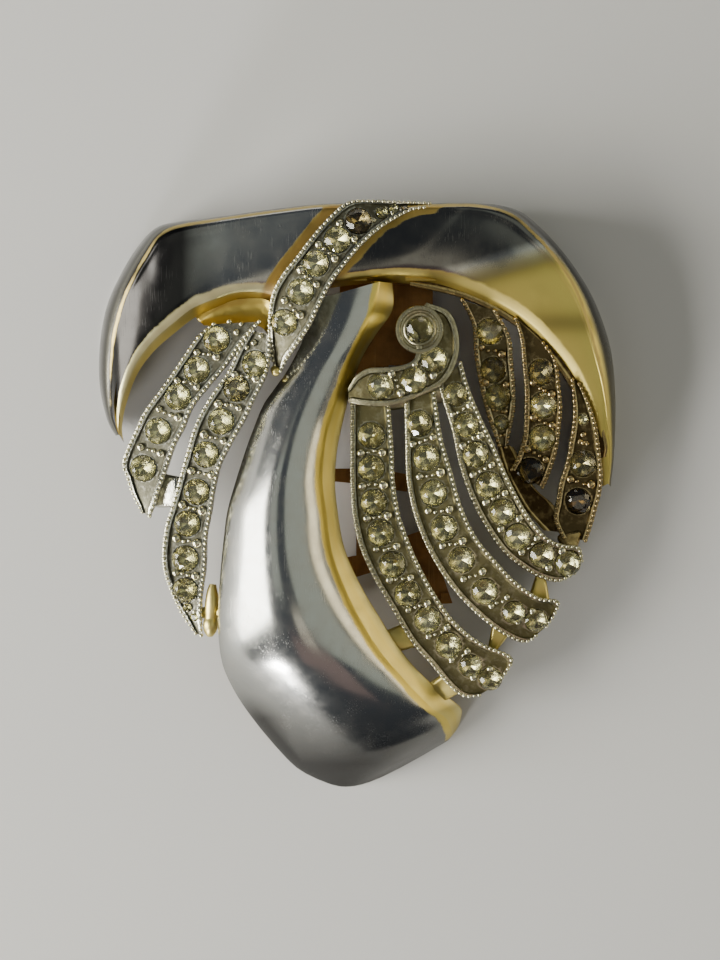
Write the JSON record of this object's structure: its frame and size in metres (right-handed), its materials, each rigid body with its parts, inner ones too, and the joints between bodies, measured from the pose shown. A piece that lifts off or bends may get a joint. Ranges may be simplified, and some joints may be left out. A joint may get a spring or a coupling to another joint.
{
  "type": "clip brooch",
  "caption": "Leaf-spray clip brooch: a domed drop, folded shoulders and pierced ribs set with rows of round cut stones, over a sprung hinged clip that grips a neckline or lapel.",
  "frame": {"origin": "middle of the brooch's outline, in the plane that its back rests on", "axes": "+X to the brooch's right seen from the front, +Y towards its top where the clip is hinged, +Z out of its front"},
  "size_m": [0.0446, 0.0502, 0.0113],
  "materials": {
    "plated_casting": "polished rhodium plating with fine scratches, and gilt rims and inner walls that show brass where worn",
    "stones": "foiled round cut paste, pale straw with age, a few stones dark",
    "clip_metal": "worn gilt over brass, dull and brown"
  },
  "bodies": {
    "brooch": {"casting": "plated_casting", "stones_band": "stones", "stones_feather_outer": "stones", "stones_feather_inner": "stones", "stones_scroll": "stones", "stones_rib_a": "stones", "stones_rib_b": "stones", "stones_rib_c": "stones", "stones_rib_d": "stones", "stones_rib_e": "stones", "stones_rib_f": "stones", "clip_base": "clip_metal", "hinge_pin": "clip_metal"},
    "lever": {"clip_lever": "clip_metal"}
  },
  "joints": [
    {"name": "clip_hinge", "type": "hinge", "parent": "brooch", "child": "lever", "pos_m": [0.0024, 0.0195, 0.0022], "axis": [1, 0, 0], "range_deg": [0, 100], "stiffness_Nm_per_rad": 0.01, "springref_deg": -57.3}
  ]
}
